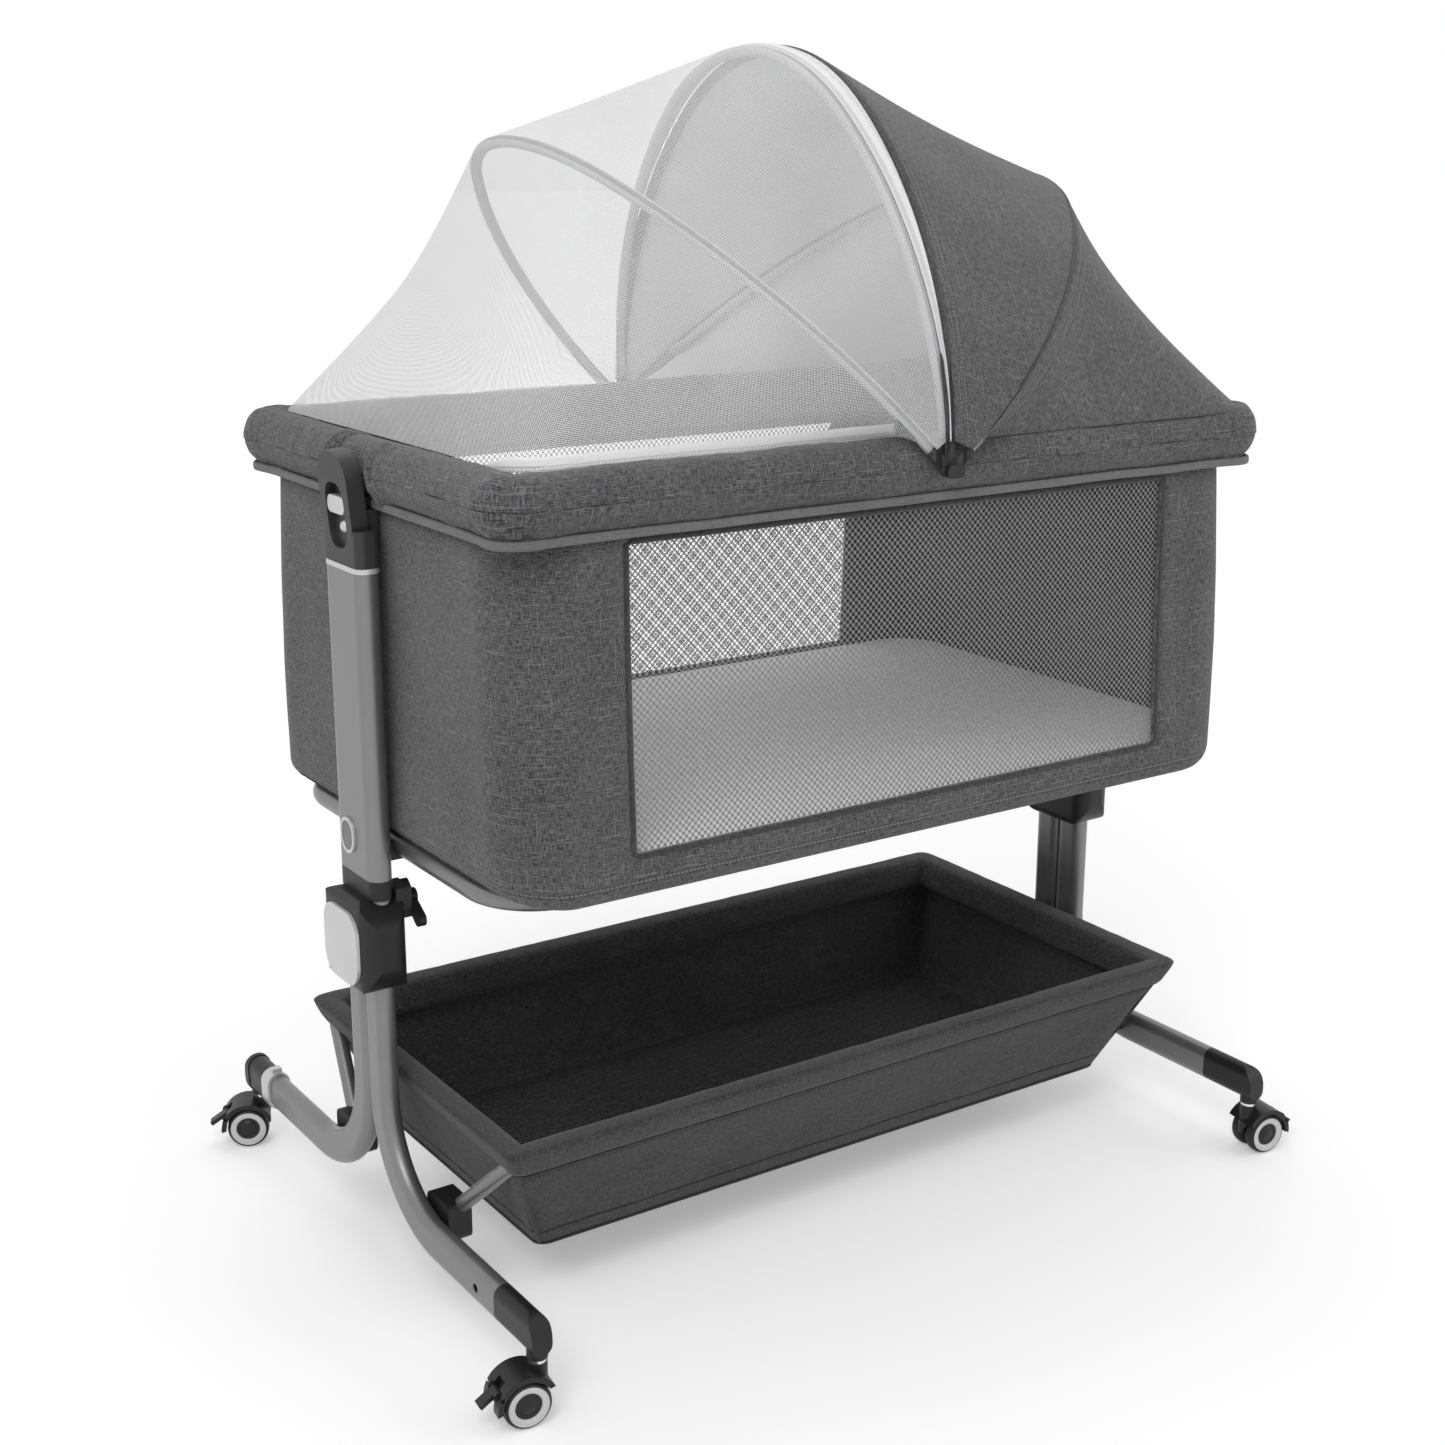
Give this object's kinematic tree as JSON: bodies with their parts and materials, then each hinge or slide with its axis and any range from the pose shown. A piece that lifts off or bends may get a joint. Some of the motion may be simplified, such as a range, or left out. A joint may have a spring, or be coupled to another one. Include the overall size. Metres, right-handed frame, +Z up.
{
  "type": "bassinet on stand",
  "caption": "Rectangular fabric crib with mesh windows and a two-part folding canopy, on a height-adjustable tube stand with a storage basket and braked casters.",
  "frame": {"origin": "on the floor, under the middle of the crib", "axes": "+Z up, +X along the crib towards the end under the fabric half of the canopy, +Y towards the rear long side"},
  "size_m": [0.9444, 0.6434, 1.0918],
  "materials": {
    "black_linen": "heathered weave",
    "black_plastic": "satin",
    "board": "raw fibreboard",
    "bow_sleeve": "cloth sleeve over a flexible rod",
    "caster_black": "satin",
    "charcoal_linen": "heathered weave",
    "chrome": "polished",
    "grey_tube": "satin",
    "pale_cloth": "soft knit",
    "pale_plastic": "satin",
    "white_net": "sheer net",
    "window_mesh": "open honeycomb mesh"
  },
  "bodies": {
    "stand": {"leg_front_left": "grey_tube", "leg_rear_left": "grey_tube", "leg_front_right": "grey_tube", "leg_rear_right": "grey_tube", "front_foot_caps": "black_plastic", "rear_foot_sleeves": "black_plastic", "rear_foot_rings": "pale_plastic", "leg_brackets": "black_plastic", "basket_bar_front": "grey_tube", "basket_bar_rear": "grey_tube", "basket_tray": "black_linen", "basket_board": "black_linen", "caster_stems": "chrome"},
    "lift_left": {"upper_tube_left": "grey_tube", "collar_left": "black_plastic", "housing_left": "black_plastic", "trim_left": "pale_plastic", "head_left": "black_plastic"},
    "lift_right": {"upper_tube_right": "grey_tube", "collar_right": "black_plastic", "housing_right": "black_plastic", "trim_right": "pale_plastic", "head_right": "black_plastic"},
    "height_button_left": {"height_button_left": "pale_plastic"},
    "lock_knob_left": {"lock_knob_left": "black_plastic"},
    "release_button_left": {"release_button_left": "pale_plastic"},
    "height_button_right": {"height_button_right": "pale_plastic"},
    "lock_knob_right": {"lock_knob_right": "black_plastic"},
    "release_button_right": {"release_button_right": "pale_plastic"},
    "crib": {"top_rail": "grey_tube", "rim_pad": "charcoal_linen", "fabric_shell": "charcoal_linen", "mesh_windows": "window_mesh", "floor_board": "board", "mattress": "pale_cloth", "bottom_loop": "grey_tube", "loop_clips": "black_plastic", "rail_hangers": "black_plastic", "canopy_pivots": "black_plastic", "canopy_rear": "charcoal_linen", "net_rear": "white_net"},
    "canopy_mid": {"mid_bow": "bow_sleeve", "canopy_front": "charcoal_linen"},
    "canopy_main": {"main_bow": "bow_sleeve", "zip_tape": "white_net"},
    "net_mid": {"net_bow": "bow_sleeve", "net_front": "white_net"},
    "net_edge": {"net_edge_bow": "bow_sleeve"},
    "caster_front_left": {"caster_hood_front_left": "caster_black"},
    "wheels_front_left": {"caster_wheels_front_left": "caster_black"},
    "brake_front_left": {"brake_front_left": "caster_black"},
    "caster_rear_left": {"caster_hood_rear_left": "caster_black"},
    "wheels_rear_left": {"caster_wheels_rear_left": "caster_black"},
    "brake_rear_left": {"brake_rear_left": "caster_black"},
    "caster_front_right": {"caster_hood_front_right": "caster_black"},
    "wheels_front_right": {"caster_wheels_front_right": "caster_black"},
    "brake_front_right": {"brake_front_right": "caster_black"},
    "caster_rear_right": {"caster_hood_rear_right": "caster_black"},
    "wheels_rear_right": {"caster_wheels_rear_right": "caster_black"},
    "brake_rear_right": {"brake_rear_right": "caster_black"}
  },
  "joints": [
    {"name": "lift_left_slide", "type": "slide", "parent": "stand", "child": "lift_left", "axis": [0, 0, 1], "range_m": [0, 0.1]},
    {"name": "lift_right_slide", "type": "slide", "parent": "stand", "child": "lift_right", "axis": [0, 0, 1], "range_m": [0, 0.1]},
    {"name": "height_button_left_press", "type": "slide", "parent": "lift_left", "child": "height_button_left", "axis": [1, 0, 0], "range_m": [0, 0.004], "stiffness_N_per_m": 300},
    {"name": "lock_knob_left_turn", "type": "hinge", "parent": "lift_left", "child": "lock_knob_left", "pos_m": [-0.3905, -0.02, 0.363], "axis": [1, 0, 0], "continuous": true},
    {"name": "release_button_left_press", "type": "slide", "parent": "lift_left", "child": "release_button_left", "axis": [1, 0, 0], "range_m": [0, 0.003], "stiffness_N_per_m": 200},
    {"name": "height_button_right_press", "type": "slide", "parent": "lift_right", "child": "height_button_right", "axis": [-1, 0, 0], "range_m": [0, 0.004], "stiffness_N_per_m": 300},
    {"name": "lock_knob_right_turn", "type": "hinge", "parent": "lift_right", "child": "lock_knob_right", "pos_m": [0.3905, -0.02, 0.363], "axis": [1, 0, 0], "continuous": true},
    {"name": "release_button_right_press", "type": "slide", "parent": "lift_right", "child": "release_button_right", "axis": [-1, 0, 0], "range_m": [0, 0.003], "stiffness_N_per_m": 200},
    {"name": "crib_lift_off", "type": "slide", "parent": "lift_left", "child": "crib", "axis": [0, 0, 1], "range_m": [0, 0.15]},
    {"name": "mid_fold", "type": "hinge", "parent": "crib", "child": "canopy_mid", "pos_m": [0.012, 0, 0.741], "axis": [0, 1, 0], "range_deg": [0, 25.2], "deforming": ["canopy_rear"]},
    {"name": "main_fold", "type": "hinge", "parent": "canopy_mid", "child": "canopy_main", "pos_m": [0.012, 0, 0.741], "axis": [0, 1, 0], "range_deg": [0, 44.3], "deforming": ["canopy_front"]},
    {"name": "net_fold", "type": "hinge", "parent": "crib", "child": "net_mid", "pos_m": [0.012, 0, 0.741], "axis": [0, -1, 0], "range_deg": [0, 28.4], "deforming": ["net_rear"]},
    {"name": "net_edge_fold", "type": "hinge", "parent": "net_mid", "child": "net_edge", "pos_m": [0.012, 0, 0.741], "axis": [0, -1, 0], "range_deg": [0, 34.3], "deforming": ["net_front"]},
    {"name": "caster_front_left_swivel", "type": "hinge", "parent": "stand", "child": "caster_front_left", "pos_m": [-0.419, -0.2935, 0.05], "axis": [0, 0, 1], "continuous": true},
    {"name": "wheels_front_left_roll", "type": "hinge", "parent": "caster_front_left", "child": "wheels_front_left", "pos_m": [-0.43286, -0.29155, 0.021], "axis": [-0.1392, -0.9903, 0], "continuous": true},
    {"name": "brake_front_left_press", "type": "hinge", "parent": "caster_front_left", "child": "brake_front_left", "pos_m": [-0.45515, -0.28842, 0.033], "axis": [-0.1392, -0.9903, 0], "range_deg": [0, 14]},
    {"name": "caster_rear_left_swivel", "type": "hinge", "parent": "stand", "child": "caster_rear_left", "pos_m": [-0.419, 0.2935, 0.05], "axis": [0, 0, 1], "continuous": true},
    {"name": "wheels_rear_left_roll", "type": "hinge", "parent": "caster_rear_left", "child": "wheels_rear_left", "pos_m": [-0.43169, 0.29942, 0.021], "axis": [-0.4226, -0.9063, 0], "continuous": true},
    {"name": "brake_rear_left_press", "type": "hinge", "parent": "caster_rear_left", "child": "brake_rear_left", "pos_m": [-0.45208, 0.30893, 0.033], "axis": [-0.4226, -0.9063, 0], "range_deg": [0, 14]},
    {"name": "caster_front_right_swivel", "type": "hinge", "parent": "stand", "child": "caster_front_right", "pos_m": [0.419, -0.2935, 0.05], "axis": [0, 0, 1], "continuous": true},
    {"name": "wheels_front_right_roll", "type": "hinge", "parent": "caster_front_right", "child": "wheels_front_right", "pos_m": [0.43286, -0.29545, 0.021], "axis": [0.1392, 0.9903, 0], "continuous": true},
    {"name": "brake_front_right_press", "type": "hinge", "parent": "caster_front_right", "child": "brake_front_right", "pos_m": [0.45515, -0.29858, 0.033], "axis": [0.1392, 0.9903, 0], "range_deg": [0, 14]},
    {"name": "caster_rear_right_swivel", "type": "hinge", "parent": "stand", "child": "caster_rear_right", "pos_m": [0.419, 0.2935, 0.05], "axis": [0, 0, 1], "continuous": true},
    {"name": "wheels_rear_right_roll", "type": "hinge", "parent": "caster_rear_right", "child": "wheels_rear_right", "pos_m": [0.43169, 0.29942, 0.021], "axis": [-0.4226, 0.9063, 0], "continuous": true},
    {"name": "brake_rear_right_press", "type": "hinge", "parent": "caster_rear_right", "child": "brake_rear_right", "pos_m": [0.45208, 0.30893, 0.033], "axis": [-0.4226, 0.9063, 0], "range_deg": [0, 14]}
  ],
  "couplings": [
    {"joint": "lift_right_slide", "follows": "lift_left_slide", "ratio": 1},
    {"joint": "main_fold", "follows": "mid_fold", "ratio": 1.7579},
    {"joint": "net_edge_fold", "follows": "net_fold", "ratio": 1.2078}
  ]
}
